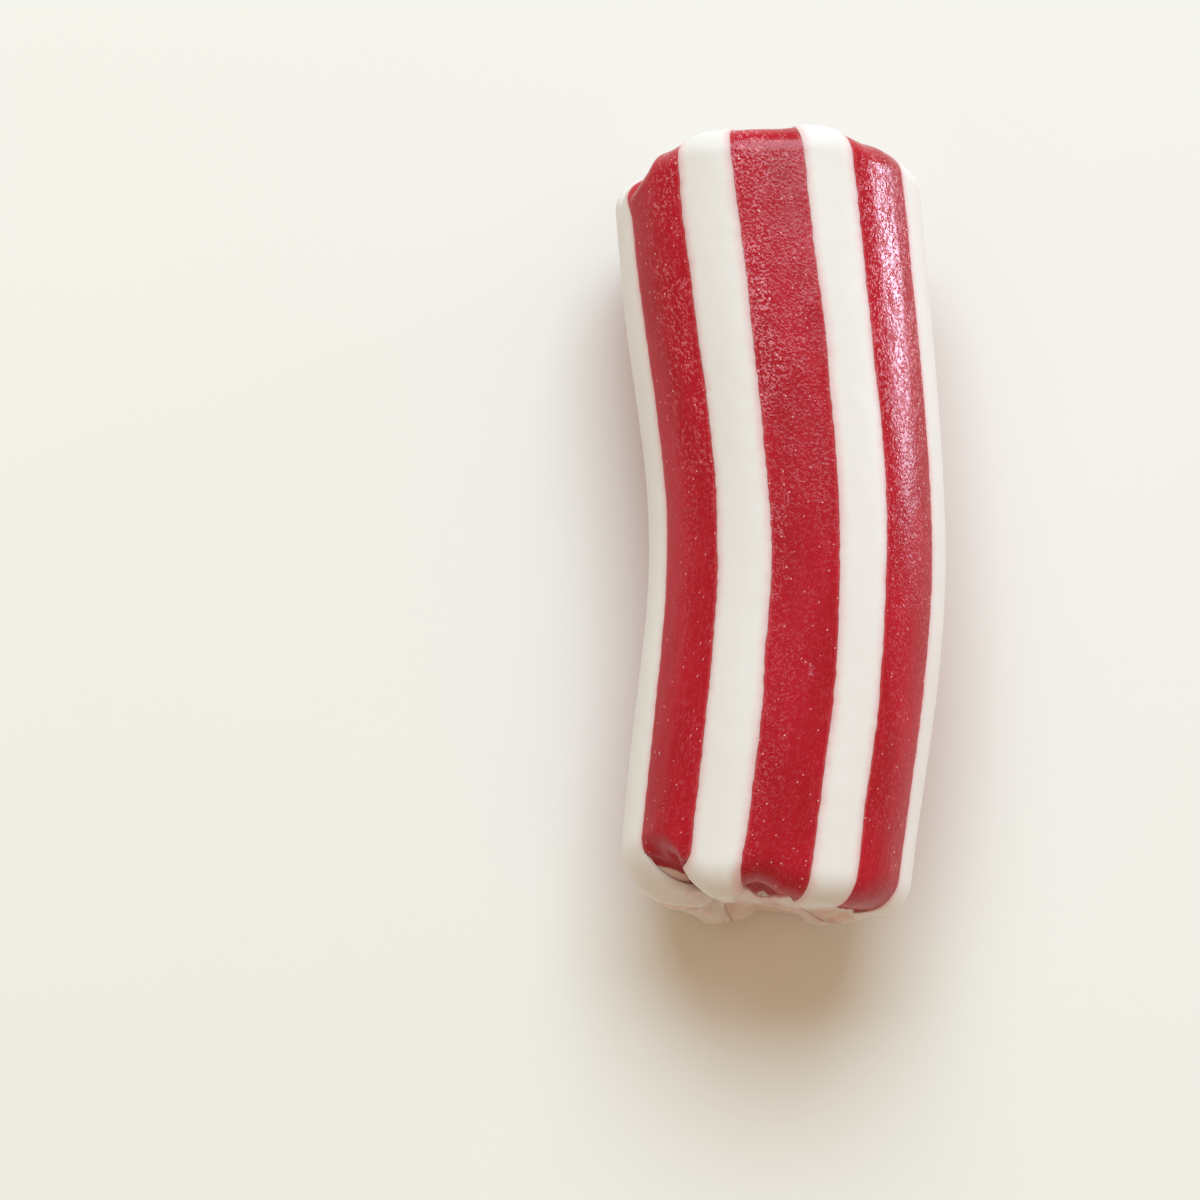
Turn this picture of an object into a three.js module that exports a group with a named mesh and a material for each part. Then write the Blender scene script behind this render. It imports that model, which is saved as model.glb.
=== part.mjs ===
// A short log of soft candy: six red strands set in a white star, cut from one rope.
// Millimetres. X runs across the log, Y along it and Z up from the surface it lies on.
// A place inside the log is written as (angle, share, y): the angle is measured from the top
// towards +X, and the share is 0 on the log's middle line and 1 at its skin.
import * as THREE from "three";
import { mergeVertices } from "three/addons/utils/BufferGeometryUtils.js";

// The log as a whole.
const HALF_LENGTH = 19.4;
const HALF_WIDTH = 7.66;
const HALF_HEIGHT = 6.6;
const REST_DEPTH = 0.35; // the underside is pressed flat by this much
const TAPER = 0.0177; // half-width gained for each mm towards the far end
const TWIST = -0.158; // degrees of lay for each mm towards the far end

// The middle line: two nearly straight limbs that meet in a soft bend.
const BEND_AT = -3.8;
const BEND_REACH = 8;
const BEND_SLOPE = 0.142;
const LEAN = 0.045;

// The side towards -X is dented and swollen where the log lay against another.
const SIDE_WAVE = 0.17;
const SIDE_WAVE_LENGTH = 22.5;
const SIDE_WAVE_CREST = 12;

// The cut ends.
const SHOULDER = 1.5; // radius of the rounded rim
const SOFT_CORNER = -90; // the rim is rounder at this angle
const SOFT_NEAR = 1.7; // how much more its radius is there at the near cut
const SOFT_FAR = 0.3; // and at the far one
const SQUEEZE = 2.2; // the rounding is spread inwards over this many times its inset
const END_REACH = 5; // an uneven cut fades out over this length
const RED_STEP = 0.1; // red lies this far below white at a cut
const DISH_POWER = 2.4; // how flat the bottom of a hollow is
const LEAN_SHARE = 0.4; // share of the radius where the inside of a cut leans in full
const INSIDE_TO = 0.5; // the inside of a cut ends at this share of the radius
const SKIN_FROM = 0.95; // and the edge of its skin starts at this one
const PLATEAU = { from: 0.15, to: 0.9 }; // the stretch between two reaches where one turns into the other
const BITE_IN = { from: 0.3, to: 0.7 }; // shares of the radius between which a bite gets its full depth

// The white star.
const WALL_HALF = 0.46; // half the thickness of a wall between two strands
const FLARE_FROM = 0.5; // share of the radius where a wall starts to widen to the skin
const FLARE_POWER = 1.4; // how late it widens
const LOBE_PROUD = 0.09; // white stands this far above red at the skin
const SEAM_GAP = 0.2; // clearance between a strand and the star
const TIP_ROUND = 0.55; // share of a wedge's flank that its rounded tip takes
const HEART = 0.58; // where a strand's hollow is deepest, from the tip of its wedge to the skin
const MEAN_RADIUS = (HALF_WIDTH + HALF_HEIGHT) / 2;

// The red strands, in order round the log. centre and width are degrees at the skin, and tip is
// the share of the radius where the wedge starts.
const STRANDS = [
  { centre: -49.2, width: 28.6, tip: 0.25 },
  { centre: 0, width: 26.5, tip: 0.2 },
  { centre: 46.9, width: 27.7, tip: 0.28 },
  { centre: 109, width: 33, tip: 0.22 },
  { centre: 170, width: 38, tip: 0.3 },
  { centre: 242, width: 38, tip: 0.23 },
];
// Each cut. reach is how far its skin stands out, at the strands and the walls between them by
// turns, and bites are notches in the edge (or tabs, where the depth is negative). The inside of
// the cut stands out by inside, and leans, most towards an angle. dish is the depth of the hollow
// in each strand.
const FAR = {
  reach: [0, 0.45, 0.45, 0.65, 0.25, -0.05, -0.3, -0.05, -0.35, -0.1, -0.5, -0.6],
  bites: [
    { centre: -64, half: 15, depth: 1 },
    { centre: -68.5, half: 4.5, depth: -0.5 },
  ],
  inside: -0.5,
  lean: 0.2,
  towards: 60,
  dish: [0.5, 0.8, 0.7, 0.7, 0.9, 0.7],
};
const NEAR = {
  reach: [-0.7, 0.15, 0, 0.5, 0.55, 0.7, 0.3, 0.3, -0.1, 0.6, -0.5, 0.1],
  bites: [
    { centre: -53, half: 13, depth: 0.85 },
    { centre: -70, half: 9, depth: 0.3 },
    { centre: -8, half: 12, depth: 0.6 },
    { centre: 128, half: 20, depth: -0.45 },
    { centre: -176, half: 9, depth: -0.35 },
    { centre: -146, half: 12, depth: 0.4 },
    { centre: -126, half: 6, depth: -0.5 },
  ],
  inside: -0.3,
  lean: 0.4,
  towards: 80,
  dish: [0.3, 0.35, 0.3, 0.3, 0.05, 0.1],
};

// Fineness of the facets.
const STATIONS = 15; // along the straight of the log
const SHOULDER_STEPS = 4;
const SIDE_STEPS = 5;
const SKIN_STEPS = 4;
const DISH_RINGS = [0, 0.45, 0.8];
const CROWDING = 1.25; // the points of a flank crowd towards its tip by this power

const radians = THREE.MathUtils.degToRad;
const smooth = THREE.MathUtils.smoothstep;
const lerp = THREE.MathUtils.lerp;
const count = STRANDS.length;
const edges = STRANDS.map((strand) => ({
  start: strand.centre - strand.width / 2,
  end: strand.centre + strand.width / 2,
}));

// The white wall that follows strand i: its middle and half its width at the skin, in degrees.
function wallAfter(i) {
  const start = edges[i].end;
  const end = edges[(i + 1) % count].start + (i + 1 === count ? 360 : 0);
  return { middle: (start + end) / 2, half: (end - start) / 2 };
}
const walls = STRANDS.map((_, i) => wallAfter(i));

// Half the angle that a wall takes at a share of the radius, with its faces moved out by extra.
function wallHalfAngle(wall, share, extra) {
  const atSkin = MEAN_RADIUS * Math.sin(radians(wall.half));
  const half = lerp(WALL_HALF, atSkin, smooth(share, FLARE_FROM, 1) ** FLARE_POWER) + extra;
  return THREE.MathUtils.radToDeg(Math.asin(Math.min(1, half / (MEAN_RADIUS * share))));
}

// A strand's outline as (angle, share) pairs, clockwise from its tip, shrunk by margin.
function strandOutline(i, margin) {
  const before = walls[(i + count - 1) % count];
  const after = walls[i];
  const beforeMiddle = before.middle - (i === 0 ? 360 : 0);
  const tip = STRANDS[i].tip + margin / MEAN_RADIUS;
  const middle = STRANDS[i].centre;
  const face = (step, side) => {
    const share = lerp(tip, 1, (step / SIDE_STEPS) ** CROWDING);
    const round = Math.sqrt(1 - (1 - Math.min(1, step / (SIDE_STEPS * TIP_ROUND))) ** 2);
    const edge =
      side < 0
        ? beforeMiddle + wallHalfAngle(before, share, margin)
        : after.middle - wallHalfAngle(after, share, margin);
    return [lerp(middle, edge, round), share];
  };
  const outline = [[middle, tip]];
  for (let step = 1; step <= SIDE_STEPS; step++) outline.push(face(step, -1));
  const from = outline.at(-1)[0];
  const to = face(SIDE_STEPS, 1)[0];
  for (let step = 1; step < SKIN_STEPS; step++)
    outline.push([lerp(from, to, step / SKIN_STEPS), 1]);
  for (let step = SIDE_STEPS; step >= 1; step--) outline.push(face(step, 1));
  return outline;
}

// The star's outline: each strand's channel in turn, then the proud lobe of white after it.
function starOutline() {
  const channels = STRANDS.map((_, i) => strandOutline(i, -SEAM_GAP / 2));
  return channels.flatMap((channel, i) => {
    const rim = SIDE_STEPS + SKIN_STEPS; // where the channel's second face starts at the skin
    const down = channel.slice(1, SIDE_STEPS + 1).reverse();
    const up = channel.slice(rim).reverse();
    const next = channels[(i + 1) % count][SIDE_STEPS][0] + (i + 1 === count ? 360 : 0);
    const last = up.at(-1)[0];
    const lobe = [];
    for (let step = 1; step < SKIN_STEPS; step++) {
      const across = step / SKIN_STEPS;
      const proud = LOBE_PROUD * Math.sin(Math.PI * across);
      lobe.push([lerp(last, next, across), 1 + proud / MEAN_RADIUS]);
    }
    return [...down, channel[0], ...up, ...lobe];
  });
}

// The stations along the log: close together in the two shoulders, even between them.
function stations() {
  const reach = SHOULDER + SOFT_NEAR;
  const straight = HALF_LENGTH - reach;
  const inner = Array.from({ length: STATIONS }, (_, i) => lerp(-straight, straight, i / (STATIONS - 1)));
  const rim = Array.from(
    { length: SHOULDER_STEPS },
    (_, i) => straight + reach * Math.sin(((i + 1) / SHOULDER_STEPS) * (Math.PI / 2)),
  );
  return [...rim.map((y) => -y).reverse(), ...inner, ...rim];
}

// How far the rim is rounded inwards at a point of the skin.
function rimInset(angle, y) {
  const soft = Math.max(0, Math.cos(radians(angle - SOFT_CORNER))) ** 2;
  const radius = SHOULDER + (y < 0 ? SOFT_NEAR : SOFT_FAR) * soft;
  const up = Math.max(0, 1 - (HALF_LENGTH - Math.abs(y)) / radius);
  return radius * (1 - Math.sqrt(Math.max(0, 1 - up * up)));
}

// How far the skin reaches past a cut at an angle: the cut's values, joined smoothly.
function skinReach(cut, angle) {
  const knots = STRANDS.flatMap(({ centre }, i) => [centre, walls[i].middle]);
  const stops = [...knots, knots[0] + 360];
  const turned = knots[0] + THREE.MathUtils.euclideanModulo(angle - knots[0], 360);
  const k = Math.max(0, stops.findLastIndex((stop) => stop <= turned));
  const t = smooth((turned - stops[k]) / (stops[k + 1] - stops[k]), PLATEAU.from, PLATEAU.to);
  return lerp(cut.reach[k], cut.reach[(k + 1) % cut.reach.length], t);
}

// How much the bites take off a cut at an angle.
function bitten(cut, angle) {
  return cut.bites.reduce((taken, { centre, half, depth }) => {
    const away = Math.abs(THREE.MathUtils.euclideanModulo(angle - centre + 180, 360) - 180);
    return taken + depth * Math.max(0, 1 - (away / half) ** 2);
  }, 0);
}

// How far an end stands out of the plane of its cut.
function cutFace(angle, share, cut) {
  const lean = cut.lean * Math.cos(radians(angle - cut.towards)) * smooth(share, 0, LEAN_SHARE);
  const level = lerp(cut.inside + lean, skinReach(cut, angle), smooth(share, INSIDE_TO, SKIN_FROM));
  return level - bitten(cut, angle) * smooth(share, BITE_IN.from, BITE_IN.to);
}

// Puts a point of the straight, round log where it lies in the bent, tapered and pressed one.
// Its piece lies sunk below the face of each cut.
function place(angle, share, y, sunk) {
  const inset = rimInset(angle, y) / MEAN_RADIUS;
  const radius = share - inset * smooth(share, 1 - SQUEEZE * Math.max(inset, 0.01), 1);
  const turn = radians(angle + TWIST * y);
  const fade = smooth(Math.abs(y), HALF_LENGTH - END_REACH, HALF_LENGTH);
  const along = y + Math.sign(y) * fade * (cutFace(angle, share, y > 0 ? FAR : NEAR) - sunk);
  const reach = Math.hypot(y - BEND_AT, BEND_REACH) - BEND_REACH;
  const middle = LEAN * (y - BEND_AT) - BEND_SLOPE * reach;
  const wave = SIDE_WAVE * Math.cos((2 * Math.PI * (y - SIDE_WAVE_CREST)) / SIDE_WAVE_LENGTH);
  const side = wave * Math.max(0, -Math.sin(turn)) * share;
  const x = middle + (HALF_WIDTH + TAPER * y) * radius * Math.sin(turn) - side;
  const z = HALF_HEIGHT - REST_DEPTH + HALF_HEIGHT * radius * Math.cos(turn);
  return new THREE.Vector3(x, along, Math.max(0, z));
}

function finished(geometry, name, material) {
  geometry.deleteAttribute("normal");
  geometry.deleteAttribute("uv");
  const closed = mergeVertices(geometry, 1e-4);
  closed.computeVertexNormals();
  const mesh = new THREE.Mesh(closed, material);
  mesh.name = name;
  return mesh;
}

// A strand starts as a turned bar with a hollow in each end, and takes the outline of its wedge.
function redStrand(i, material) {
  const strand = STRANDS[i];
  const along = stations();
  const profile = [
    ...DISH_RINGS.map((ring) => new THREE.Vector2(ring, along[0])),
    ...along.map((y) => new THREE.Vector2(1, y)),
    ...DISH_RINGS.map((ring) => new THREE.Vector2(ring, along.at(-1))).reverse(),
  ];
  const outline = strandOutline(i, SEAM_GAP / 2);
  const corners = outline.map(([angle, share]) => polar(angle, share));
  const heart = polar(strand.centre, lerp(strand.tip, 1, HEART));
  const geometry = new THREE.LatheGeometry(profile, outline.length);
  const position = geometry.getAttribute("position");
  for (let k = 0; k < position.count; k++) {
    const corner = corners[Math.floor(k / profile.length) % outline.length];
    const { x: ring, y } = profile[k % profile.length];
    const spot = heart.clone().lerp(corner, ring);
    const share = spot.length();
    const angle = THREE.MathUtils.radToDeg(Math.atan2(spot.x, spot.y));
    const dish = (y > 0 ? FAR : NEAR).dish[i];
    const put = place(angle, share, y, RED_STEP + dish * (1 - ring ** DISH_POWER));
    position.setXYZ(k, put.x, put.y, put.z);
  }
  return finished(geometry, `red_strand_${i + 1}`, material);
}

// The star is its outline carried from one end to the other.
function whiteStar(material) {
  const along = stations();
  const shape = new THREE.Shape(starOutline().map(([angle, share]) => polar(angle, share)));
  const geometry = new THREE.ExtrudeGeometry(shape, {
    steps: along.length - 1,
    depth: along.length - 1,
    bevelEnabled: false,
  });
  const position = geometry.getAttribute("position");
  for (let k = 0; k < position.count; k++) {
    const [u, w] = [position.getX(k), position.getY(k)];
    const y = along[along.length - 1 - Math.round(position.getZ(k))];
    const put = place(THREE.MathUtils.radToDeg(Math.atan2(u, w)), Math.hypot(u, w), y, 0);
    position.setXYZ(k, put.x, put.y, put.z);
  }
  return finished(geometry, "white_star", material);
}

// A place in the section as a flat point: x across and y up, in shares of the radius.
function polar(angle, share) {
  return new THREE.Vector2(share * Math.sin(radians(angle)), share * Math.cos(radians(angle)));
}

const red = new THREE.MeshStandardMaterial({ color: 0xb2232f, roughness: 0.42, metalness: 0 });
const white = new THREE.MeshStandardMaterial({ color: 0xece8e0, roughness: 0.5, metalness: 0 });

const candy = new THREE.Group();
candy.name = "candy_twist";
candy.add(whiteStar(white), ...STRANDS.map((_, i) => redStrand(i, red)));

// The origin is the middle of the footprint, on the surface that the log lies on.
const middle = new THREE.Box3().setFromObject(candy).getCenter(new THREE.Vector3());
candy.position.set(-middle.x, -middle.y, 0);

export default candy;
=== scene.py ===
"""A short log of soft red and white candy, lying on a pale table.

Sizes are in millimetres, and times MM they are Blender's metres. A place inside the log is given as
(angle, share, y): the angle is measured from the top towards +X, the share is 0 on the log's middle
line and 1 at its skin, and y runs along the log, from its near end to its far one."""

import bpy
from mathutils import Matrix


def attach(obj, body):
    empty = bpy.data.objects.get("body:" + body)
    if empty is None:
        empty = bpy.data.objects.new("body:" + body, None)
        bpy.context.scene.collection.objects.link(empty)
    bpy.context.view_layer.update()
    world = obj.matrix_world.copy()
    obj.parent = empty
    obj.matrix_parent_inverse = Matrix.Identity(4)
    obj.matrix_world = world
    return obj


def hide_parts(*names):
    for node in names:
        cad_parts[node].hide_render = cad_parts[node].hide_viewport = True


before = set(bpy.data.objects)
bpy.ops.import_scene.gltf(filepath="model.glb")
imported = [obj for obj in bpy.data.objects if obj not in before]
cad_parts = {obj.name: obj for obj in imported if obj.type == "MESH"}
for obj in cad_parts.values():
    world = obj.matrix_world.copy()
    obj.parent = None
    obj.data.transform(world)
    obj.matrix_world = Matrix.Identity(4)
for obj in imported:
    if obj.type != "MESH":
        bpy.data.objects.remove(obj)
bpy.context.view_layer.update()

import math

import bmesh
import bpy
import numpy as np
from mathutils import Vector, noise

MM = 0.001

# The log as a whole, as its solids have it.
HALF_LENGTH = 19.4
HALF_WIDTH = 7.66
HALF_HEIGHT = 6.6
MEAN_RADIUS = (HALF_WIDTH + HALF_HEIGHT) / 2
REST_DEPTH = 0.35  # how much of the underside is pressed flat
TAPER = 0.0177  # how much half the width grows for each mm along
TWIST = -0.158  # degrees for each mm along
BEND_AT = -3.8
BEND_REACH = 8.0
BEND_SLOPE = 0.142
LEAN = 0.045  # how far the log runs sideways for each mm along
SIDE_WAVE = 0.17  # a slow wave in its left side
SIDE_WAVE_LENGTH = 22.5
SIDE_WAVE_CREST = 12.0
SHOULDER = 1.5  # radius of the rounded rims
SOFT_CORNER = -90.0  # the angle where the rims are rounder, by this much at either end
SOFT_NEAR = 1.7
SOFT_FAR = 0.3
SQUEEZE = 2.2  # how deep the rounding of a rim is felt, as a multiple of its inset
END_REACH = 5.0  # how far along the log the shape of a cut is felt
WALL_HALF = 0.46  # half the thickness of a wall inside
WALL_CREST = 0.22  # how far a wall stands out of the cut
FLARE_FROM = 0.5  # the share where a wall starts to widen towards the skin
FLARE_CURVE = 1.4
LOBE_PROUD = 0.09  # how far the white stands out of the skin
RED_STEP = 0.1  # how far the red lies below the cut
TIP_ROUNDING = 0.55  # the part of a wedge's flank, from its tip, that is rounded
HEART = 0.58  # where a hollow is deepest, on the way from a wedge's tip to the skin
HOLLOW_CURVE = 3.2  # how steeply a hollow falls from its rim

# The red strands, in order round the log: degrees at the skin, and the share where the wedge starts. At
# the far and the near end: the depth of the hollow, and how far in from the skin, as a share, the red
# is bare before a film of white covers it. creased_and_glinting: how finely creased and sugary the skin
# is along its two edges, in order round the log, which also sets how much painted highlight its creases
# and glints carry there.
STRANDS = [
    dict(centre=-49.2, width=28.6, tip=0.25, dish=(0.5, 0.3), bare=(1.2, 0.25), creased_and_glinting=(0.1, 0.9)),
    dict(centre=0.0, width=26.5, tip=0.2, dish=(0.8, 0.35), bare=(1.2, 0.95), creased_and_glinting=(1.0, 0.45)),
    dict(centre=46.9, width=27.7, tip=0.28, dish=(0.7, 0.3), bare=(0.9, 0.36), creased_and_glinting=(0.7, 1.0)),
    dict(centre=109.0, width=33.0, tip=0.22, dish=(0.7, 0.3), bare=(1.2, 0.12), creased_and_glinting=(0.7, 0.4)),
    dict(centre=170.0, width=38.0, tip=0.3, dish=(0.9, 0.05), bare=(0.8, 0.05), creased_and_glinting=(0.3, 0.6)),
    dict(centre=242.0, width=38.0, tip=0.23, dish=(0.7, 0.1), bare=(1.2, 0.1), creased_and_glinting=(0.6, 0.3)),
]
COUNT = len(STRANDS)

# The cuts. reach: how far the skin reaches past the cut, at the strands and the walls between them by
# turns. bites: what is bitten out of the edge of the skin, or left on it as a tab, by an angle, half
# the width and the depth. The inside lies at a mean height, and leans out towards an angle.
FAR_CUT = dict(
    reach=[0.0, 0.45, 0.45, 0.65, 0.25, -0.05, -0.3, -0.05, -0.35, -0.1, -0.5, -0.6],
    bites=[(-64.0, 15.0, 1.0), (-68.5, 4.5, -0.5)],
    mean=-0.5,
    lean=0.2,
    towards=60.0,
)
NEAR_CUT = dict(
    reach=[-0.7, 0.15, 0.0, 0.5, 0.55, 0.7, 0.3, 0.3, -0.1, 0.6, -0.5, 0.1],
    bites=[
        (-53.0, 13.0, 0.85),
        (-70.0, 9.0, 0.3),
        (-8.0, 12.0, 0.6),
        (128.0, 20.0, -0.45),
        (-176.0, 9.0, -0.35),
        (-146.0, 12.0, 0.4),
        (-126.0, 6.0, -0.5),
    ],
    mean=-0.3,
    lean=0.4,
    towards=80.0,
)
REACH_STEP = (0.15, 0.9)  # the part of the way between two places in which the reach changes
LEAN_IN = (0, 0.4)  # the shares between which a cut starts to lean
RIM_IN = (0.5, 0.95)  # the shares between which the inside of a cut turns into its rim
BITE_IN = (0.3, 0.7)  # the shares between which a bite starts

# What the solids leave to the finish. Ripples are given as their height, their size and a seed.
AT_SKIN = (0.9, 1.0)  # the shares between which what lies on the skin starts
UNDER_SKIN = (0.8, 1.0)  # the same for what is felt a little deeper
SEAM = 0.006  # a hair's breadth between red and white
SEAM_WANDER = 0.09  # how far a stripe's edge strays to either side
SKIN_SWELL = 0.045  # height of the slow swells of the skin
SKIN_GRAIN = 0.014  # height of the skin's grain
LIP = dict(height=0.16, ring=0.9, half=0.07, start=0.6)  # the thin lip round a hollow
CUT_TEAR = 0.11  # roughness of the torn white edges
CUT_RIPPLES = [(0.5, 0.3, 7), (1.0, 0.9, 8)]
HOLLOW_RIPPLES = [(0.06, 0.35, 5), (0.12, 1.1, 6)]
SHOULDER_SHARE = 0.25  # how far in from the skin the rounding of a rim counts as
PATTERN_RADIUS = 7.0  # ripples are read on a log of about this radius

# A slight flat along one strand, in degrees, which fades out towards the near end, and a dent.
FACET = dict(strand=2, centre=46.3, half=5.5, depth=0.028, fades=(2.5, 13.0))
DENT = dict(strand=1, angle=3.6, y=-8.2, half_width=0.13, half_length=0.5, depth=0.09)

# Where the skin of one strand is torn off at the near end: the torn edge runs from the log's left
# towards its right and turns down at the end. Behind it the red is bare, and then a film of white
# covers it. Places in the bent log.
TEAR = dict(
    strand=0,
    left=-8.0,
    start=-17.15,
    slope=-0.24,
    turn=(-5.8, -5.4),
    drop=0.5,
    ripples=[(0.05, 0.35, 9), (0.08, 1.0, 10)],
    skin=0.22,  # its thickness
    upper=(3, 6),  # the heights between which the tear starts
    steep=0.08,  # how far its edge slopes
    film=(0.25, 0.5),  # how far behind the edge the film starts, and is whole
)

# Where a wall widens towards an end: the wall, its side (1 for its flank on the strand before it),
# where that starts and ends along the log, and how far it gets.
CREEPS = [(0, 1, -17.4, -19.4, 1.0), (5, -1, 16.0, 19.4, -0.7)]

# Beside the torn strand the white keeps clean of red, from here to the near end.
CLEAN = dict(angle=-77.0, half=18.0, along=(17.2, 18.2))

# Where the skin gets more creased, and its creases and glints carry more painted highlight: the part of
# a strand's width, and the stretch of its length.
CREASES_AND_GLINTS_ACROSS = (0.15, 0.85)
CREASES_AND_GLINTS_ALONG = (-8, 14)
CREASES_AND_GLINTS_LEAST = 0.25

# Fineness of the meshes.
BODY_RINGS = 250
SHOULDER_RINGS = 26
SIDE_FACES = 16
RED_SKIN_FACES = 44
WHITE_SKIN_FACES = 20
HOLLOW_RINGS = 22
WALL_RINGS = 7
CROWDING = 1.25  # how much an outline's points crowd together at its inner end
RIDGE_REACH = 0.86  # the share where the ridge of a cut wall ends
SHARP_EDGE = math.radians(40)
SAME_PLACE = 2e-8  # points this near are one, in metres


def smooth(value, low, high):
    """0 below low, 1 above high, and an S-curve between."""
    t = np.clip((np.asarray(value, float) - low) / (high - low), 0.0, 1.0)
    return t * t * (3 - 2 * t)


def blend(a, b, t):
    return a + (b - a) * t


def ripple(points, size, seed):
    """Smooth noise from -1 to 1 at each (x, y, z) in mm, with swells of about the given size."""
    shift = Vector((seed * 17.3, seed * 5.1, seed * 9.7))
    spots = np.asarray(points, float).reshape(-1, 3) / size
    values = [noise.noise(Vector(spot) + shift) for spot in spots.tolist()]
    return np.array(values).reshape(np.asarray(points).shape[:-1])


def ripples(points, layers):
    """The sum of several ripples, each given as its height, its size and its seed."""
    return sum(height * ripple(points, size, seed) for height, size, seed in layers)


def wall_after(i):
    """The white wall that follows strand i: its middle and half its width at the skin."""
    start = STRANDS[i]["centre"] + STRANDS[i]["width"] / 2
    following = STRANDS[(i + 1) % COUNT]
    end = following["centre"] - following["width"] / 2 + (360 if i + 1 == COUNT else 0)
    return (start + end) / 2, (end - start) / 2


WALLS = [wall_after(i) for i in range(COUNT)]


def wall_half_angle(half_at_skin, share, extra):
    """Half the angle that a wall takes at a share of the radius, its faces moved out by extra."""
    at_skin = MEAN_RADIUS * math.sin(math.radians(half_at_skin))
    half = blend(WALL_HALF, at_skin, smooth(share, FLARE_FROM, 1) ** FLARE_CURVE) + extra
    return np.degrees(np.arcsin(np.clip(half / (MEAN_RADIUS * share), -1, 1)))


def seam_stray(wall, side, share, y):
    """How far a seam strays towards its strand, in mm: slow wander, and a fine ragged edge."""
    # Each flank of each wall reads the noise along a line of its own.
    line = np.stack([y, np.full_like(y, wall * 7.7), np.full_like(y, side * 3.1)], -1)
    slow = ripple(line * [1, 4, 4], 4.0, 1)
    fine = ripple(line, 0.45, 2)
    stray = SEAM_WANDER * (slow + 0.5 * fine)
    for creeping, its_side, start, end, reach in CREEPS:
        if (wall, side) == (creeping, its_side):
            stray = stray + reach * smooth(y, start, end)
    return stray * smooth(share, 0.6, 1)


def strand_face(i, side, step, y, margin):
    """One flank of strand i's wedge: step runs from 0 at the tip to 1 at the skin."""
    strand = STRANDS[i]
    wall = (i + COUNT - 1) % COUNT if side < 0 else i
    middle, half = WALLS[wall]
    if side < 0 and i == 0:
        middle -= 360
    tip = strand["tip"] + margin / MEAN_RADIUS
    share = blend(tip, 1, step**CROWDING)
    rounding = np.sqrt(1 - (1 - np.minimum(1, step / TIP_ROUNDING)) ** 2)
    stray = seam_stray(wall, side, share, y)
    edge = middle - side * wall_half_angle(half, share, margin + stray)
    return blend(strand["centre"], edge, rounding), share


def strand_outline(i, y, margin, skin_faces):
    """Strand i's outline at each y, clockwise from its tip: angles and shares, rings by points."""
    steps = np.linspace(0, 1, SIDE_FACES + 1)
    rows = y[:, None]
    left = strand_face(i, -1, steps[None, :] + 0 * rows, rows + 0 * steps, margin)
    right = strand_face(i, 1, steps[None, :] + 0 * rows, rows + 0 * steps, margin)
    across = np.linspace(0, 1, skin_faces + 1)[1:-1]
    skin = blend(left[0][:, -1:], right[0][:, -1:], across[None, :])
    angle = np.concatenate([left[0], skin, right[0][:, ::-1]], 1)
    share = np.concatenate([left[1], np.ones_like(skin), right[1][:, ::-1]], 1)
    return angle, share


def body_stations():
    """Where the rings lie along the log: close together in the shoulders, even between them."""
    reach = SHOULDER + SOFT_NEAR
    straight_half = HALF_LENGTH - reach
    rim = straight_half + reach * np.sin(np.linspace(0, math.pi / 2, SHOULDER_RINGS + 1))[1:]
    return np.concatenate([-rim[::-1], np.linspace(-straight_half, straight_half, BODY_RINGS), rim])


def rings_through(cut_rings):
    """The rings of a piece that runs from end to end, with those of its two cuts.

    Returns how wide each is, from 0 in the heart of a cut to 1 at its rim and along the skin, and
    where it lies along the log."""
    stations = body_stations()
    ring = np.concatenate([cut_rings, np.ones_like(stations), cut_rings[::-1]])[:, None]
    ends = np.full(len(cut_rings), HALF_LENGTH)
    return ring, np.concatenate([-ends, stations, ends])


def rim_inset(angle, y):
    """How far the rim is rounded inwards at a point of the skin."""
    soft = np.maximum(0, np.cos(np.radians(angle - SOFT_CORNER))) ** 2
    radius = SHOULDER + np.where(y < 0, SOFT_NEAR, SOFT_FAR) * soft
    up = np.maximum(0, 1 - (HALF_LENGTH - np.abs(y)) / radius)
    return radius * (1 - np.sqrt(np.maximum(0, 1 - up * up)))


def skin_reach(values, angle):
    """How far the skin reaches past a cut at an angle: the given values, joined."""
    knots = [knot for i in range(COUNT) for knot in (STRANDS[i]["centre"], WALLS[i][0])]
    stops = np.append(np.array(knots) - knots[0], 360)
    turned = (angle - knots[0]) % 360
    index = np.clip(np.searchsorted(stops, turned, side="right") - 1, 0, len(knots) - 1)
    t = smooth((turned - stops[index]) / (stops[index + 1] - stops[index]), *REACH_STEP)
    levels = np.array(values + values[:1])
    return blend(levels[index], levels[index + 1], t)


def bitten(bites, angle):
    """How much the bites take off a cut at an angle."""
    taken = 0 * angle
    for centre, half, depth in bites:
        away = np.abs((angle - centre + 180) % 360 - 180)
        taken = taken + depth * np.maximum(0, 1 - (away / half) ** 2)
    return taken


def cut_level(end, angle, share):
    """How far one end stands out of the plane of its cut."""
    lean = np.cos(np.radians(angle - end["towards"])) * smooth(share, *LEAN_IN)
    inside = end["mean"] + end["lean"] * lean
    level = blend(inside, skin_reach(end["reach"], angle), smooth(share, *RIM_IN))
    return level - bitten(end["bites"], angle) * smooth(share, *BITE_IN)


def cut_face(angle, share, y):
    """How far the end that is nearer stands out of the plane of its cut."""
    return np.where(y > 0, cut_level(FAR_CUT, angle, share), cut_level(NEAR_CUT, angle, share))


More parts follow.
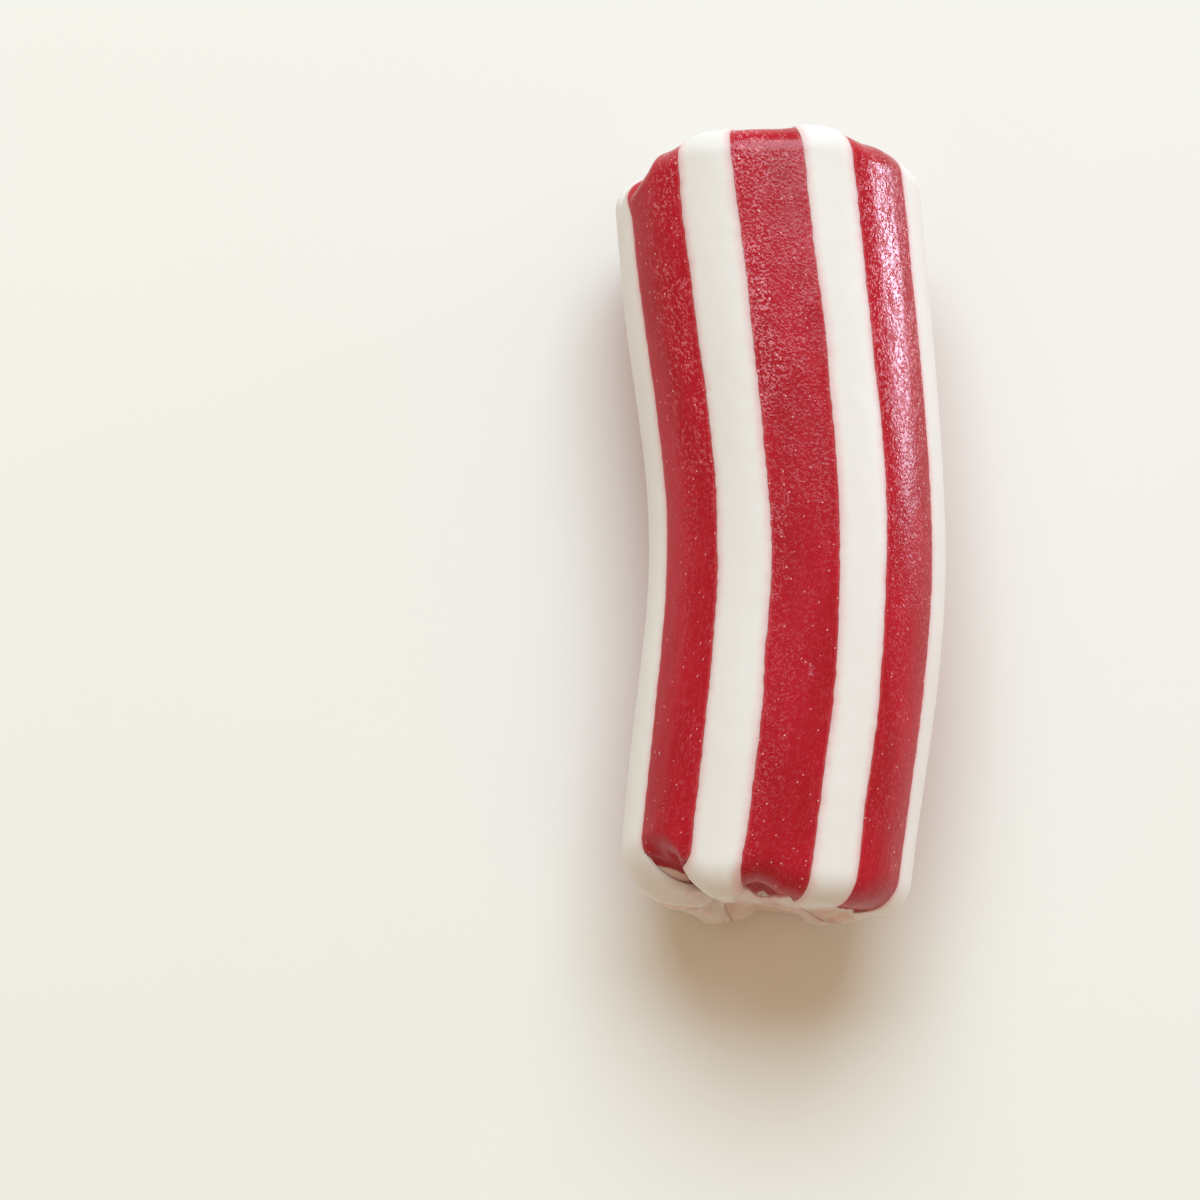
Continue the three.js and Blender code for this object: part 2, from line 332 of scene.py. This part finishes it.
def place(angle, share, y, cut):
    """Puts points of the straight, round log where they lie in the bent and pressed one, in mm."""
    inset = rim_inset(angle, y) / MEAN_RADIUS
    radius = share - inset * smooth(share, 1 - SQUEEZE * np.maximum(inset, 0.01), 1)
    turn = np.radians(angle + TWIST * y)
    fade = smooth(np.abs(y), HALF_LENGTH - END_REACH, HALF_LENGTH)
    along = y + np.sign(y) * fade * cut
    middle = LEAN * (y - BEND_AT) - BEND_SLOPE * (np.hypot(y - BEND_AT, BEND_REACH) - BEND_REACH)
    wave = SIDE_WAVE * np.cos(2 * math.pi * (y - SIDE_WAVE_CREST) / SIDE_WAVE_LENGTH)
    side = wave * np.maximum(0, -np.sin(turn)) * share
    x = middle + (HALF_WIDTH + TAPER * y) * radius * np.sin(turn) - side
    z = HALF_HEIGHT - REST_DEPTH + HALF_HEIGHT * radius * np.cos(turn)
    return np.stack([x, along, np.maximum(0, z)], -1)


def skin_swell(angle, share, y):
    """The slow swells of the skin, as a change of share, drawn out along the log."""
    around = np.radians(angle)
    spots = np.stack([PATTERN_RADIUS * np.sin(around), y / 3, PATTERN_RADIUS * np.cos(around)], -1)
    height = 0.7 * ripple(spots, 2.2, 3) + 0.3 * ripple(spots * [1, 2, 1], 0.7, 4)
    return SKIN_SWELL / MEAN_RADIUS * height * smooth(share, *UNDER_SKIN)


def torn(i, points, marks):
    """Takes the torn skin off a strand, if it is the one that has it torn: its places sink there,
    and its finish turns into that of a cut."""
    if i != TEAR["strand"]:
        return
    x, y, z = np.moveaxis(points, -1, 0)
    edge = TEAR["start"] + TEAR["slope"] * (x - TEAR["left"]) - TEAR["drop"] * smooth(x, *TEAR["turn"])
    edge = edge + ripples(points, TEAR["ripples"])
    gone = smooth(y, edge, edge - TEAR["steep"])
    z -= TEAR["skin"] * gone * smooth(z, *TEAR["upper"])
    marks["cut"] = np.maximum(marks["cut"], 0.8 * gone)
    starts, whole = TEAR["film"]
    film = smooth(y, edge - starts, edge - whole) * gone
    marks["film"] = np.where(y < 0, film, marks["film"])


def facet(i, angle, share):
    """The slight flat along one strand: 1 on its middle, and 0 at its sides and everywhere else."""
    if i != FACET["strand"]:
        return 0 * share
    away = (angle - FACET["centre"]) / FACET["half"]
    return np.maximum(0, 1 - away**2) * smooth(share, *AT_SKIN)


def dent(i, angle, share, y):
    """The small dent in one strand: 1 at its bottom, and 0 away from it."""
    if i != DENT["strand"]:
        return 0 * share
    across = np.radians(angle - DENT["angle"]) * MEAN_RADIUS / DENT["half_width"]
    along = (y - DENT["y"]) / DENT["half_length"]
    return np.exp(-(across**2) - along**2) * smooth(share, *AT_SKIN)


def flat(angle, share):
    """A place in the section as a flat point, in shares of the radius: across, and up."""
    around = np.radians(angle)
    return np.stack([share * np.sin(around), share * np.cos(around)], -1)


def polar(spot):
    """The angle and share of a flat point in the section."""
    return np.degrees(np.arctan2(spot[..., 0], spot[..., 1])), np.hypot(spot[..., 0], spot[..., 1])


def straight(angle, share, along):
    """Places in the log as if it were straight, which its patterns follow, in mm."""
    return np.stack([*np.moveaxis(flat(angle, share * MEAN_RADIUS), -1, 0), along], -1)


def cut_grain(spot, y, layers, shift=0):
    """The rough grain of the cuts at flat points of the section. shift gives a piece its own."""
    end = np.sign(y) * 9 + shift
    spots = np.stack([spot[..., 0] * PATTERN_RADIUS, spot[..., 1] * PATTERN_RADIUS, end], -1)
    return ripples(spots, layers)


def hollow_lip(ring, column):
    """The thin lip round a strand's hollow, which is highest under the skin."""
    start = LIP["start"] * SIDE_FACES
    width = RED_SKIN_FACES + 2 * (SIDE_FACES - start)
    under_skin = np.sin(np.pi * np.clip((column - start) / width, 0, 1))[None, :]
    return LIP["height"] * np.exp(-(((ring - LIP["ring"]) / LIP["half"]) ** 2)) * under_skin**0.5


def red_strand(i):
    """Strand i's places, ring by ring from the heart of one hollow to that of the other."""
    strand = STRANDS[i]
    ring, y = rings_through(1 - (1 - np.linspace(0, 1, HOLLOW_RINGS + 1)[:-1]) ** 1.5)
    corner = flat(*strand_outline(i, y, SEAM / 2, RED_SKIN_FACES))
    heart = flat(strand["centre"], blend(strand["tip"], 1, HEART))
    spot = heart + ring[..., None] * (corner - heart)
    angle, share = polar(spot)
    y = y[:, None] + 0 * angle
    pressed = facet(i, angle, share) * smooth(y, *FACET["fades"])
    sunk = FACET["depth"] * pressed + DENT["depth"] * dent(i, angle, share, y)
    share = share + skin_swell(angle, share, y) - sunk / MEAN_RADIUS

    # The film of white that covers the cut, some way in from the skin.
    over_rim = np.maximum(0, 1 - (HALF_LENGTH - np.abs(y)) / SHOULDER)
    from_skin = SHOULDER_SHARE * over_rim + 1 - share
    bare = np.where(y > 0, *strand["bare"])
    film = smooth(from_skin - bare, -0.1, 0.1) * smooth(over_rim, 0, 0.4)

    column = np.arange(angle.shape[1])
    bowl = np.where(y > 0, *strand["dish"]) * (1 - ring**HOLLOW_CURVE)
    tear = cut_grain(spot, y, HOLLOW_RIPPLES, 3 * i) * smooth(ring, 1.0, 0.9)
    step = RED_STEP * (1 - film) + bowl
    cut = cut_face(angle, share, y) - step + hollow_lip(ring, column) * (1 - film) + tear

    across = np.clip((column - SIDE_FACES) / RED_SKIN_FACES, 0, 1)[None, :]
    width = math.radians(strand["width"]) * MEAN_RADIUS
    creased_and_glinting = blend(*strand["creased_and_glinting"], smooth(across, *CREASES_AND_GLINTS_ACROSS))
    marks = {
        "edge": np.minimum(across, 1 - across) * width + (1 - ring) * 1.6,
        "cut": smooth(ring, 1.0, 0.94) + 0 * angle,
        "depth": (1 - ring**HOLLOW_CURVE) + 0 * angle,
        "film": film,
        "gloss": np.minimum(1, 2 * pressed),
        "creased_and_glinting": creased_and_glinting * blend(CREASES_AND_GLINTS_LEAST, 1, smooth(y, *CREASES_AND_GLINTS_ALONG)),
        "straight": straight(angle, share, y + np.sign(y) * (cut + bowl)),
    }
    points = place(angle, share, y, cut)
    torn(i, points, marks)
    return points, marks


def star_section(y):
    """The star's outline at each y, the ridge that each of its points runs up to, and how far
    along the skin each lies from red, in mm."""
    steps = np.linspace(0, 1, SIDE_FACES + 1)
    across = np.linspace(0, 1, WHITE_SKIN_FACES + 1)[1:-1]
    proud = 1 + LOBE_PROUD * np.sin(np.pi * across) / MEAN_RADIUS
    ridge = RIDGE_REACH * steps**CROWDING
    channels = [strand_outline(i, y, -SEAM / 2, WHITE_SKIN_FACES) for i in range(COUNT)]
    rim = SIDE_FACES + WHITE_SKIN_FACES
    down = slice(SIDE_FACES, None, -1)
    up = slice(-2, rim - 1, -1)
    spots, ridges, edge = [], [], []
    for i, (angle, share) in enumerate(channels):
        turn = 360 if i + 1 == COUNT else 0
        following = channels[(i + 1) % COUNT][0][:, SIDE_FACES : SIDE_FACES + 1] + turn
        lobe = blend(angle[:, rim : rim + 1], following, across)
        spots += [flat(angle[:, down], share[:, down]), flat(angle[:, up], share[:, up])]
        spots += [flat(lobe, 0 * lobe + proud)]
        before, after = WALLS[(i + COUNT - 1) % COUNT][0], WALLS[i][0]
        ridges += [flat(before, ridge[::-1]), flat(after, ridge[1:])]
        ridges += [flat(after, np.full_like(across, RIDGE_REACH))]
        width = math.radians(2 * WALLS[i][1]) * MEAN_RADIUS
        edge += [0 * steps, 0 * steps[1:], np.minimum(across, 1 - across) * width]
    return np.concatenate(spots, 1), np.concatenate(ridges), np.concatenate(edge)


def white_star():
    """The star's places, ring by ring from the ridges of one cut's walls to those of the other."""
    ring, y = rings_through(np.linspace(0, 1, WALL_RINGS + 1)[:-1] ** 0.6)
    outline, ridges, edge = star_section(y)
    spot = ridges + ring[..., None] * (outline - ridges)
    angle, share = polar(spot)
    y = y[:, None] + 0 * angle
    share = share + skin_swell(angle, share, y)
    inside = smooth(share, *UNDER_SKIN[::-1])
    crest = WALL_CREST * (1 - ring**2) * inside
    cut = cut_face(angle, share, y) + CUT_TEAR * cut_grain(spot, y, CUT_RIPPLES) * inside + crest
    clean = smooth(-y, *CLEAN["along"]) * (np.abs(angle - CLEAN["angle"]) < CLEAN["half"])
    marks = {
        "edge": edge[None, :] + (1 - ring) * 0.5 + clean,
        "cut": smooth(ring, 1.0, 0.9) + 0 * angle,
        "depth": smooth(share, 0.55, 0.1),
        "straight": straight(angle, share, y + np.sign(y) * crest),
    }
    return place(angle, share, y, cut), marks


def link(name, data):
    """Puts a new object in the scene."""
    made = bpy.data.objects.new(name, data)
    bpy.context.scene.collection.objects.link(made)
    return made


def roll(name, points, marks, middle):
    """Rolls a flat sheet of faces into a closed piece.

    points holds a ring of places for each row, and the last column meets the first. marks are what
    the piece's material reads: each has a number, or a place, for each point."""
    rows, columns = points.shape[:2]
    bm = bmesh.new()
    bmesh.ops.create_grid(bm, x_segments=columns, y_segments=rows - 1, size=1.0)
    layers = {}
    for mark, values in marks.items():
        kinds = bm.verts.layers.float_vector if values.ndim == 3 else bm.verts.layers.float
        layers[mark] = kinds.new(mark)
    places = (np.concatenate([points, points[:, :1]], 1) - middle).reshape(-1, 3) * MM
    sheets = {
        mark: np.concatenate([values, values[:, :1]], 1).reshape(-1, *values.shape[2:]).tolist()
        for mark, values in marks.items()
    }
    for k, (vert, co) in enumerate(zip(bm.verts, places.tolist())):
        vert.co = co
        for mark, layer in layers.items():
            vert[layer] = sheets[mark][k]
    # The sheet's two sides become one here, and its first and last rings close up.
    bmesh.ops.remove_doubles(bm, verts=bm.verts, dist=SAME_PLACE)
    bmesh.ops.dissolve_degenerate(bm, edges=bm.edges, dist=SAME_PLACE)
    bmesh.ops.recalc_face_normals(bm, faces=bm.faces)
    for face in bm.faces:
        face.smooth = True
    for edge in bm.edges:
        edge.smooth = edge.calc_face_angle(0.0) < SHARP_EDGE
    mesh = bpy.data.meshes.new(name)
    bm.to_mesh(mesh)
    bm.free()
    return link(name, mesh)


class Value:
    """A socket of a material, so that shader maths reads as Python."""

    def __init__(self, graph, socket):
        self.graph = graph
        self.socket = socket

    def __add__(self, other):
        return self.graph.maths("ADD", self, other)

    def __sub__(self, other):
        return self.graph.maths("SUBTRACT", self, other)

    def __rsub__(self, other):
        return self.graph.maths("SUBTRACT", other, self)

    def __mul__(self, other):
        return self.graph.maths("MULTIPLY", self, other)

    __radd__ = __add__
    __rmul__ = __mul__


class Graph:
    """The node tree of a new material."""

    def __init__(self, name):
        self.material = bpy.data.materials.new(name)
        self.material.use_nodes = True
        self.tree = self.material.node_tree
        self.tree.nodes.clear()

    def node(self, kind, settings=None, **sockets):
        """Makes a node: its settings first, then the values or links of its sockets.

        A socket goes by its name, with _ for a space, or by i and its number."""
        made = self.tree.nodes.new("ShaderNode" + kind)
        for name, value in (settings or {}).items():
            setattr(made, name, value)
        for name, value in sockets.items():
            key = int(name[1:]) if name[0] == "i" and name[1:].isdigit() else name.replace("_", " ")
            socket = made.inputs[key]
            if isinstance(value, Value):
                self.tree.links.new(value.socket, socket)
            else:
                socket.default_value = value
        return made

    def value(self, kind, settings=None, out=0, **sockets):
        """Makes a node, and gives one of the sockets that come out of it."""
        return Value(self, self.node(kind, settings, **sockets).outputs[out])

    def maths(self, operation, a, b=0.0):
        return self.value("Math", {"operation": operation}, i0=a, i1=b)

    def between(self, value, low, high, to_low=0.0, to_high=1.0):
        """Maps low..high smoothly to to_low..to_high."""
        settings = {"interpolation_type": "SMOOTHSTEP"}
        limits = {"From_Min": low, "From_Max": high, "To_Min": to_low, "To_Max": to_high}
        return self.value("MapRange", settings, Value=value, **limits)

    def mix(self, factor, a, b):
        """One colour turning into another."""
        return self.value("Mix", {"data_type": "RGBA"}, out=2, i0=factor, i6=a, i7=b)

    def mark(self, name):
        """A number that the piece's mesh holds for each place."""
        return self.value("Attribute", {"attribute_name": name}, out=2)

    def straight(self, stretch=1.0):
        """The place in the log as if it were straight, in mm, with patterns drawn out along it."""
        place = self.value("Attribute", {"attribute_name": "straight"}, out=1)
        return self.value("Mapping", Vector=place, Scale=(1, 1, 1 / stretch))

    def noise(self, place, size, detail=2.0, roughness=0.5):
        """Smooth noise from 0 to 1, with swells of about a size in mm."""
        return self.value("TexNoise", Vector=place, Scale=1 / size, Detail=detail, Roughness=roughness)

    def wander(self, place, size, reach):
        """A place that strays by up to about reach in mm, in swells of about a size."""
        stray = self.value("TexNoise", out=1, Vector=place, Scale=1 / size, Detail=1.0)
        middled = self.value("VectorMath", {"operation": "SUBTRACT"}, i0=stray, i1=(0.5, 0.5, 0.5))
        settings = {"operation": "MULTIPLY_ADD"}
        return self.value("VectorMath", settings, i0=middled, i1=(reach, reach, reach), i2=place)

    def bump(self, height, size):
        """The surface's slope where a height of 1 stands for a size in mm."""
        return self.value("Bump", Height=height, Strength=1.0, Distance=size * MM)

    def paste(self, colour, rough, bump, kind):
        """A paste that light sinks into, of one of the kinds below."""
        return self.value("BsdfPrincipled", Base_Color=colour, Roughness=rough, Normal=bump, **kind)

    def cover(self, share, below, above):
        """One finish turning into another that covers it."""
        return self.value("MixShader", i0=share, i1=below, i2=above)

    def finish(self, shader):
        """Ends the material with its finish."""
        output = self.tree.nodes.new("ShaderNodeOutputMaterial")
        self.tree.links.new(shader.socket, output.inputs[0])
        return self.material


def linear(red, green, blue):
    """A colour given as it looks on a screen, 0 to 255, in the renderer's own terms."""
    def channel(v):
        v /= 255
        return v / 12.92 if v <= 0.04045 else ((v + 0.055) / 1.055) ** 2.4
    return (channel(red), channel(green), channel(blue), 1.0)


# The colours.
DEEP_RED = linear(164, 4, 26)
BRIGHT_RED = linear(178, 10, 36)
DRAWN_RED = linear(206, 84, 92)  # of faint lines along a strand
RIM_RED = linear(206, 84, 88)  # beside the white
# Deeper red of the cut faces, darker still towards the middle of each hollow as painted shade.
CUT_RED_AND_HOLLOW_SHADE = linear(150, 10, 22)
# Pale pink of the creases: partly sugar, partly a painted highlight.
CREASE_HIGHLIGHT_PINK = linear(246, 150, 164)
# A painted glint: pale pink standing for light caught by single sugar grains.
GLINT_PINK = linear(252, 200, 204)
FILM_WHITE = linear(226, 212, 203)
FILM_BLUSH = linear(228, 196, 188)
PALE_WHITE = linear(230, 225, 221)
DULL_WHITE = linear(225, 219, 214)
BLEED_PINK = linear(228, 150, 152)
STAIN_PINK = linear(226, 166, 166)
TABLE_LIGHT = linear(236, 233, 227)
TABLE_DULL = linear(233, 230, 224)

# How light sinks into each paste: red light goes farthest in red paste, and all light evenly in white.
EVENLY = (1.0, 1.0, 1.0)
IN_RED = dict(
    Subsurface_Weight=0.25, Subsurface_Radius=(1.0, 0.12, 0.1), Subsurface_Scale=0.7 * MM, IOR=1.4
)
IN_WHITE = dict(Subsurface_Weight=0.7, Subsurface_Radius=EVENLY, Subsurface_Scale=0.4 * MM, IOR=1.45)
IN_FILM = dict(Subsurface_Weight=0.7, Subsurface_Radius=EVENLY, Subsurface_Scale=0.3 * MM, IOR=1.45)

# The sugar of the red skin, and its painted glints.
CREASE_SIZE = 0.17
GRAIN_SIZE = 0.16
GLINT_SPACING = 0.22
GLINT_SIZE = 0.11
GLINT_SHARE = 0.12


def creases(g, size):
    """The fine creases of a drying sugar skin: short, bent ridges about a size apart, from 0 to 1."""
    place = g.straight(1.3)
    lines = g.noise(g.wander(place, size, size * 0.5), size, 1.0)
    ridge = 1 - g.maths("ABSOLUTE", lines - 0.5) * 10
    broken = g.between(g.noise(place, size * 1.1, 1.0), 0.46, 0.56)
    return g.between(ridge, 0.0, 1.0) * broken


def glints(g, spacing, size, share):
    """Painted glints: single bright specks that stand for light caught by sugar grains, from 0 to 1. Of
    the cells that are a spacing wide, a share hold a glint of the given size."""
    cells = {"Vector": g.straight(1.0), "Scale": 1 / spacing}
    away = g.value("TexVoronoi", {"feature": "F1"}, **cells)
    pick = g.value("TexVoronoi", {"feature": "F1"}, out=1, **cells)
    chosen = g.value("SeparateColor", Color=pick)
    grain = g.between(away * spacing, 0.25 * size, 0.5 * size, 1.0, 0.0)
    return grain * g.between(chosen, 1 - share - 0.01, 1 - share)


def grains(g, size):
    """Rounded sugar grains about a size across, from 0 between them to 1 on top."""
    cells = {"Vector": g.straight(1.25), "Scale": 1 / size, "Smoothness": 0.3}
    return g.between(g.value("TexVoronoi", {"feature": "SMOOTH_F1"}, **cells), 0.1, 0.6, 1.0, 0.0)


def red_candy():
    g = Graph("red_sugar")
    place, drawn = g.straight(), g.straight(3.0)
    edge, cut, depth, film = g.mark("edge"), g.mark("cut"), g.mark("depth"), g.mark("film")
    gloss = g.mark("gloss")

    # Red sugar paste, paler where white has bled into it; deeper red on the cut faces, and darker
    # towards the middle of each hollow, which is painted shade.
    cloud = g.between(g.noise(drawn, 2.2, 3.0), 0.3, 0.7)
    colour = g.mix(cloud, DEEP_RED, BRIGHT_RED)
    lines = g.between(g.noise(g.straight(14.0), 0.2, 2.0), 0.5, 0.75)
    colour = g.mix(lines * 0.08, colour, DRAWN_RED)
    rim = g.between(edge + 0.1 * g.noise(place, 0.3), 0.04, 0.24, 1.0, 0.0)
    colour = g.mix(rim * 0.5 * (1 - cut), colour, RIM_RED)
    colour = g.mix(cut * 0.5 + cut * depth * 0.4, colour, CUT_RED_AND_HOLLOW_SHADE)
    smear = g.between(film + 0.35 * (g.noise(place, 0.7, 3.0) - 0.5), 0.25, 0.8)

    # Creases and grains with painted highlights: pale pink painted into the colour along the creases
    # and as glints, thicker along some edges and in patches. Their bumps catch the lamps as well.
    patch = g.between(g.noise(drawn, 1.3, 2.0), 0.34, 0.62, 0.3, 1.0)
    creased_and_glinting = g.mark("creased_and_glinting") * patch * (1 - smear)
    fine = creases(g, CREASE_SIZE)
    glint = glints(g, GLINT_SPACING, GLINT_SIZE, GLINT_SHARE)
    colour = g.mix(fine * creased_and_glinting * 0.62, colour, CREASE_HIGHLIGHT_PINK)
    colour = g.mix(glint * (0.5 + 0.5 * creased_and_glinting) * (1 - smear), colour, GLINT_PINK)

    sugar = (0.6 + gloss) * fine + grains(g, GRAIN_SIZE) * (1 - 0.7 * gloss)
    height = (0.25 + 0.75 * creased_and_glinting) * sugar + 1.4 * g.noise(drawn, 0.9)
    bump = g.bump(height, SKIN_GRAIN)
    rough = 0.2 + 0.35 * cut - 0.06 * gloss + 0.1 * (g.noise(drawn, 1.4) - 0.5)
    red = g.paste(colour, rough, bump, IN_RED)

    # White paste that the knife has dragged over the end.
    blush = g.between(g.noise(place, 1.1, 3.0), 0.35, 0.7)
    dragged = g.paste(g.mix(blush, FILM_WHITE, FILM_BLUSH), 0.4, bump, IN_FILM)
    return g.finish(g.cover(smear, red, dragged))


def white_candy():
    g = Graph("white_sugar")
    place, drawn = g.straight(), g.straight(5.0)
    edge, cut, depth = g.mark("edge"), g.mark("cut"), g.mark("depth")

    # White sugar paste, pink where red has bled into it, and smeared with pink at the cuts.
    colour = g.mix(g.noise(drawn, 1.6), PALE_WHITE, DULL_WHITE)
    near = edge + 0.3 * g.noise(place, 0.5) + 0.3 * g.noise(drawn, 1.4)
    bleed = g.between(near, 0.1, 1.0, 1.0, 0.0)
    colour = g.mix(bleed * bleed * 0.75 * (1 - 0.5 * cut), colour, BLEED_PINK)
    stain = g.between(g.noise(place, 1.5, 3.0), 0.42, 0.66)
    colour = g.mix(cut * (0.3 + 0.4 * depth) * stain, colour, STAIN_PINK)

    height = 0.7 * g.noise(place, 0.25, 3.0, 0.6) + 0.8 * g.noise(drawn, 0.8)
    bump = g.bump(height, SKIN_GRAIN * 0.35)
    return g.finish(g.paste(colour, 0.45 - 0.1 * cut, bump, IN_WHITE))


def table_top():
    g = Graph("table_top")
    place = g.value("TexCoord", out=3)
    colour = g.mix(g.noise(place, 30.0 * MM), TABLE_LIGHT, TABLE_DULL)
    return g.finish(g.value("BsdfPrincipled", Base_Color=colour, Roughness=0.85, IOR=1.3))


def dress(piece, material, node):
    """Gives a piece its finish, and its place in the frame."""
    piece.data.materials.append(material)
    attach(piece, "root")
    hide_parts(node)


def candy():
    """Every piece of the log, centred as the solids are. Returns the place that came to lie at
    zero, in metres."""
    red, white = red_candy(), white_candy()
    made = [("white_paste", "white_star", white_star(), white, "white_candy")]
    for i in range(COUNT):
        made += [(f"red_paste_{i + 1}", f"red_strand_{i + 1}", red_strand(i), red, "red_candy")]
    every = np.concatenate([points.reshape(-1, 3) for _, _, (points, _), _, _ in made])
    middle = (every.min(0) + every.max(0)) / 2 * [1, 1, 0]
    for name, node, (points, marks), material, slot in made:
        dress(roll(name, points, marks, middle), material, node)
    return Vector(middle) * MM


TABLE_HALF = 1.5  # metres


def table():
    bm = bmesh.new()
    bmesh.ops.create_grid(bm, x_segments=1, y_segments=1, size=TABLE_HALF)
    mesh = bpy.data.meshes.new("table")
    bm.to_mesh(mesh)
    bm.free()
    mesh.materials.append(table_top())
    link("table", mesh)


# Warm light comes from all round. The lamps are soft and face the candy: azimuth is measured from +X
# towards +Y, in degrees, and sizes are in metres.
ROOM_LIGHT = (0.54, 0.4, 0.265, 1.0)
LAMPS = {
    "back_window": dict(
        azimuth=90, elevation=49, distance=0.9, size=(0.8, 0.6), power=9.9, colour=(0.67, 0.875, 1.0)
    ),
    "side_window": dict(
        azimuth=22, elevation=3.5, distance=0.5, size=(0.14, 0.06), power=0.8, colour=(0.76, 0.8, 1.0)
    ),
}


def lamp(name, azimuth, elevation, distance, size, power, colour):
    light = bpy.data.lights.new(name, "AREA")
    light.shape = "RECTANGLE"
    light.size, light.size_y = size
    light.energy = power
    light.color = colour
    around, up = math.radians(azimuth), math.radians(elevation)
    direction = Vector((math.cos(around) * math.cos(up), math.sin(around) * math.cos(up), math.sin(up)))
    hung = link(name, light)
    hung.location = direction * distance
    hung.rotation_euler = direction.to_track_quat("Z", "Y").to_euler()


def studio():
    world = bpy.data.worlds.new("studio")
    world.use_nodes = True
    background = world.node_tree.nodes["Background"]
    background.inputs["Color"].default_value = ROOM_LIGHT
    background.inputs["Strength"].default_value = 1.0
    bpy.context.scene.world = world
    for name, settings in LAMPS.items():
        lamp(name, **settings)
    bpy.context.scene.view_settings.view_transform = "Standard"


# The camera looks down on the log from its near end.
CAMERA_LENS = 85
CAMERA_SENSOR = 36
CAMERA_ELEVATION = 79
CAMERA_DISTANCE = 145.2
CAMERA_AIM = (-10.04, -3.9, 7.0)  # in the log's own place, before it is centred
CAMERA_CLIP = 0.001  # metres


def camera(middle):
    data = bpy.data.cameras.new("camera")
    data.lens = CAMERA_LENS
    data.sensor_width = CAMERA_SENSOR
    data.clip_start = CAMERA_CLIP
    eye = link("camera", data)
    elevation = math.radians(CAMERA_ELEVATION)
    back = Vector((0, -math.cos(elevation), math.sin(elevation)))
    eye.location = Vector(CAMERA_AIM) * MM - middle + back * CAMERA_DISTANCE * MM
    eye.rotation_euler = (math.pi / 2 - elevation, 0, 0)
    bpy.context.scene.camera = eye


middle = candy()
table()
studio()
camera(middle)
